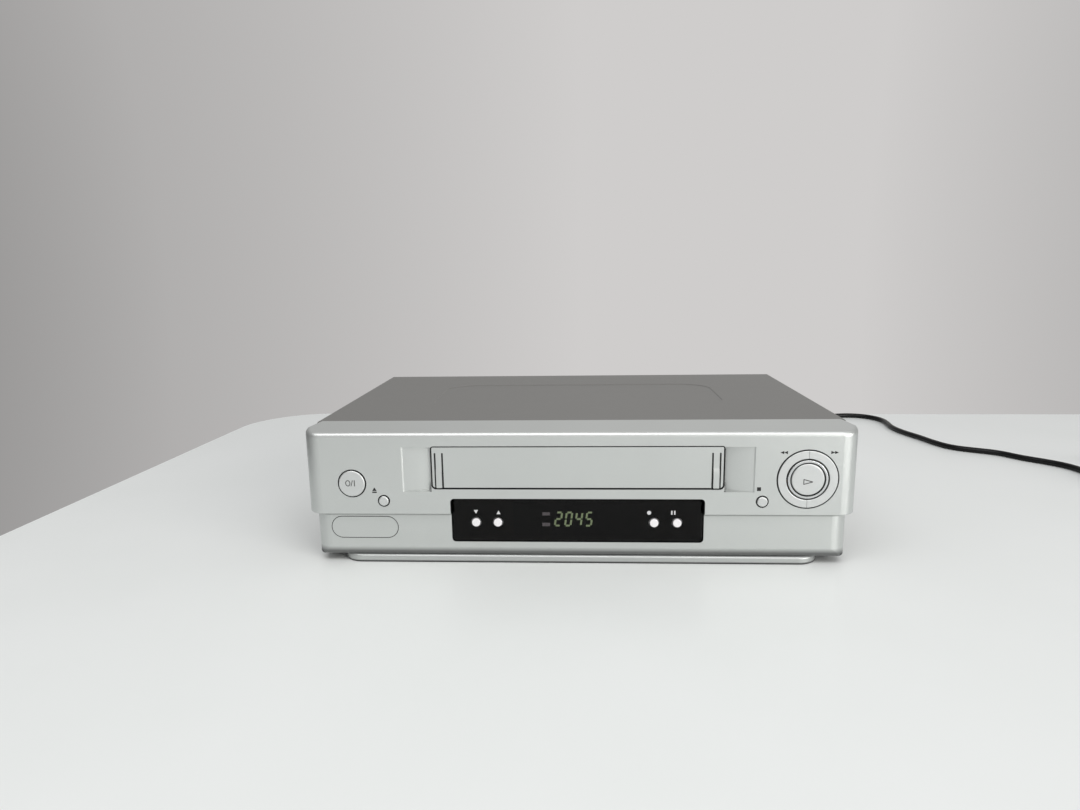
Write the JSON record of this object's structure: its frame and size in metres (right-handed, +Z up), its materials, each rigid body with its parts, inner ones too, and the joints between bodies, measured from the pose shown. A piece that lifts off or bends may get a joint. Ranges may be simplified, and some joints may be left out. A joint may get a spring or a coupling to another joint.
{
  "type": "video cassette recorder",
  "caption": "Front-loading VHS video cassette recorder: silver panel with a flap door, push buttons and dark display window, grey steel cover, tape deck inside and a coiled mains cord.",
  "frame": {"origin": "on the table, under the middle of the machine without its mains cord", "axes": "+Z up, the front panel faces -Y, +X to the right seen from the front"},
  "size_m": [0.7206, 0.4735, 0.094],
  "materials": {
    "aluminium": "milled",
    "black_plastic": "satin",
    "black_rubber": "matt",
    "black_screw": "black",
    "board_tan": "phenolic board",
    "button_silver": "satin silver paint",
    "chassis_plastic": "matt",
    "component_black": "satin",
    "cord_black": "gloss PVC",
    "cover_grey": "metallic grey paint",
    "deck_steel": "zinc plated",
    "display_glass": "clear glass",
    "drum_metal": "polished",
    "ferrite": "matt",
    "foot_rubber": "matt",
    "key_white": "satin",
    "motor_steel": "nickel plated",
    "plug_black": "satin",
    "rear_plastic": "fine grain",
    "silver_paint": "satin silver paint",
    "socket_black": "satin",
    "socket_metal": "nickel plated",
    "spring_steel": "bright",
    "tinned_steel": "tinned",
    "trim_bright": "satin bright",
    "white_plastic": "satin acetal",
    "window_smoke": "gloss smoke tinted",
    "zinc_steel": "zinc plated"
  },
  "bodies": {
    "case": {"front_panel": "silver_paint", "display_window": "window_smoke", "play_trim_ring": "trim_bright", "door_spring": "spring_steel", "top_cover": "cover_grey", "cover_screws": "black_screw", "bottom_plate": "zinc_steel", "feet": "foot_rubber", "chassis_frame": "chassis_plastic", "rear_panel": "rear_plastic", "scart_sockets": "socket_black", "tuner": "socket_metal", "audio_jacks": "socket_metal", "cord_gland": "socket_black", "mains_cord": "cord_black", "cord_coil": "cord_black", "mains_plug": "plug_black", "main_board": "board_tan", "board_components": "component_black", "power_transformer": "ferrite", "heat_sink": "aluminium", "timer_board": "board_tan", "fluorescent_display": "display_glass", "tact_switches": "black_plastic", "head_amplifier_can": "tinned_steel", "deck_plate": "deck_steel", "lower_drum": "drum_metal", "capstan_stator": "board_tan", "drive_belt": "black_rubber", "full_erase_head": "tinned_steel", "audio_control_head": "tinned_steel", "loading_motor": "motor_steel", "loader_frame": "deck_steel"},
    "door": {"cassette_door": "silver_paint"},
    "standby_button": {"standby_button": "button_silver"},
    "eject_button": {"eject_button": "button_silver"},
    "stop_button": {"stop_button": "button_silver"},
    "play_button": {"play_button": "button_silver"},
    "rewind_button": {"rewind_button": "button_silver"},
    "fast_forward_button": {"fast_forward_button": "button_silver"},
    "programme_down_button": {"programme_down_button": "key_white"},
    "programme_up_button": {"programme_up_button": "key_white"},
    "record_button": {"record_button": "key_white"},
    "pause_button": {"pause_button": "key_white"},
    "loader_slide": {"loader_slide": "deck_steel"},
    "cassette_holder": {"cassette_holder": "zinc_steel"},
    "drum_rotor": {"upper_drum": "drum_metal"},
    "capstan": {"capstan": "motor_steel"},
    "clutch": {"clutch_pulley": "white_plastic"},
    "supply_reel": {"supply_reel": "black_plastic"},
    "take_up_reel": {"take_up_reel": "black_plastic"},
    "idler_arm": {"idler_arm": "deck_steel"},
    "idler_wheel": {"idler_wheel": "black_rubber"},
    "cam_gear": {"cam_gear": "white_plastic"},
    "loading_pinion": {"loading_pinion": "white_plastic"},
    "pinch_arm": {"pinch_arm": "deck_steel"},
    "tension_arm": {"tension_arm": "deck_steel"},
    "pinch_roller": {"pinch_roller": "black_rubber"},
    "supply_guide": {"supply_guide": "motor_steel"},
    "take_up_guide": {"take_up_guide": "motor_steel"}
  },
  "joints": [
    {"name": "door_hinge", "type": "hinge", "parent": "case", "child": "door", "pos_m": [0, -0.1089, 0.0843], "axis": [1, 0, 0], "range_deg": [0, 90], "stiffness_Nm_per_rad": 0.004, "springref_deg": -22.92},
    {"name": "standby_press", "type": "slide", "parent": "case", "child": "standby_button", "axis": [0, 1, 0], "range_m": [0, 0.0008], "stiffness_N_per_m": 800, "springref_m": -0.0005},
    {"name": "eject_press", "type": "slide", "parent": "case", "child": "eject_button", "axis": [0, 1, 0], "range_m": [0, 0.0008], "stiffness_N_per_m": 800, "springref_m": -0.0005},
    {"name": "stop_press", "type": "slide", "parent": "case", "child": "stop_button", "axis": [0, 1, 0], "range_m": [0, 0.0008], "stiffness_N_per_m": 800, "springref_m": -0.0005},
    {"name": "play_press", "type": "slide", "parent": "case", "child": "play_button", "axis": [0, 1, 0], "range_m": [0, 0.0008], "stiffness_N_per_m": 800, "springref_m": -0.0005},
    {"name": "rewind_press", "type": "slide", "parent": "case", "child": "rewind_button", "axis": [0, 1, 0], "range_m": [0, 0.0008], "stiffness_N_per_m": 800, "springref_m": -0.0005},
    {"name": "fast_forward_press", "type": "slide", "parent": "case", "child": "fast_forward_button", "axis": [0, 1, 0], "range_m": [0, 0.0008], "stiffness_N_per_m": 800, "springref_m": -0.0005},
    {"name": "programme_down_press", "type": "slide", "parent": "case", "child": "programme_down_button", "axis": [0, 1, 0], "range_m": [0, 0.0008], "stiffness_N_per_m": 800, "springref_m": -0.0005},
    {"name": "programme_up_press", "type": "slide", "parent": "case", "child": "programme_up_button", "axis": [0, 1, 0], "range_m": [0, 0.0008], "stiffness_N_per_m": 800, "springref_m": -0.0005},
    {"name": "record_press", "type": "slide", "parent": "case", "child": "record_button", "axis": [0, 1, 0], "range_m": [0, 0.0008], "stiffness_N_per_m": 800, "springref_m": -0.0005},
    {"name": "pause_press", "type": "slide", "parent": "case", "child": "pause_button", "axis": [0, 1, 0], "range_m": [0, 0.0008], "stiffness_N_per_m": 800, "springref_m": -0.0005},
    {"name": "loader_travel", "type": "slide", "parent": "case", "child": "loader_slide", "axis": [0, 1, 0], "range_m": [0, 0.061]},
    {"name": "holder_drop", "type": "slide", "parent": "loader_slide", "child": "cassette_holder", "axis": [0, 0, -1], "range_m": [0, 0.019]},
    {"name": "drum_spin", "type": "hinge", "parent": "case", "child": "drum_rotor", "pos_m": [0, 0.0635, 0.03], "axis": [0, 0, 1], "continuous": true},
    {"name": "capstan_spin", "type": "hinge", "parent": "case", "child": "capstan", "pos_m": [0.058, 0.0325, 0.03], "axis": [0, 0, 1], "continuous": true},
    {"name": "clutch_spin", "type": "hinge", "parent": "case", "child": "clutch", "pos_m": [0, -0.0085, 0.03], "axis": [0, 0, 1], "continuous": true},
    {"name": "supply_reel_spin", "type": "hinge", "parent": "case", "child": "supply_reel", "pos_m": [-0.046, -0.0365, 0.03], "axis": [0, 0, 1], "continuous": true},
    {"name": "take_up_reel_spin", "type": "hinge", "parent": "case", "child": "take_up_reel", "pos_m": [0.046, -0.0365, 0.03], "axis": [0, 0, 1], "continuous": true},
    {"name": "idler_swing", "type": "hinge", "parent": "case", "child": "idler_arm", "pos_m": [0, -0.0085, 0.031], "axis": [0, 0, 1], "range_deg": [-20, 20]},
    {"name": "idler_spin", "type": "hinge", "parent": "idler_arm", "child": "idler_wheel", "pos_m": [0, -0.0345, 0.03], "axis": [0, 0, 1], "continuous": true},
    {"name": "cam_turn", "type": "hinge", "parent": "case", "child": "cam_gear", "pos_m": [-0.07, 0.006, 0.018], "axis": [0, 0, 1], "range_deg": [0, 240]},
    {"name": "pinion_turn", "type": "hinge", "parent": "case", "child": "loading_pinion", "pos_m": [-0.07952, 0.03445, 0.025], "axis": [0, 0, 1], "range_deg": [-720, 0]},
    {"name": "pinch_swing", "type": "hinge", "parent": "case", "child": "pinch_arm", "pos_m": [0.08, 0.0315, 0.025], "axis": [0, 0, 1], "range_deg": [-28, 0]},
    {"name": "tension_swing", "type": "hinge", "parent": "case", "child": "tension_arm", "pos_m": [-0.066, 0.0025, 0.025], "axis": [0, 0, 1], "range_deg": [0, 12]},
    {"name": "pinch_roller_spin", "type": "hinge", "parent": "pinch_arm", "child": "pinch_roller", "pos_m": [0.0648, 0.0154, 0.03], "axis": [0, 0, 1], "continuous": true},
    {"name": "supply_guide_travel", "type": "slide", "parent": "case", "child": "supply_guide", "axis": [-0.0948, 0.9955, 0], "range_m": [0, 0.06328]},
    {"name": "take_up_guide_travel", "type": "slide", "parent": "case", "child": "take_up_guide", "axis": [0.0948, 0.9955, 0], "range_m": [0, 0.06328]}
  ],
  "couplings": [
    {"joint": "clutch_spin", "follows": "capstan_spin", "ratio": 0.69231},
    {"joint": "pinion_turn", "follows": "cam_turn", "ratio": -3},
    {"joint": "pinch_swing", "follows": "cam_turn", "ratio": -0.11667},
    {"joint": "tension_swing", "follows": "cam_turn", "ratio": 0.05},
    {"joint": "supply_guide_travel", "follows": "cam_turn", "m_per_rad": 0.015108},
    {"joint": "take_up_guide_travel", "follows": "cam_turn", "m_per_rad": 0.015108}
  ]
}
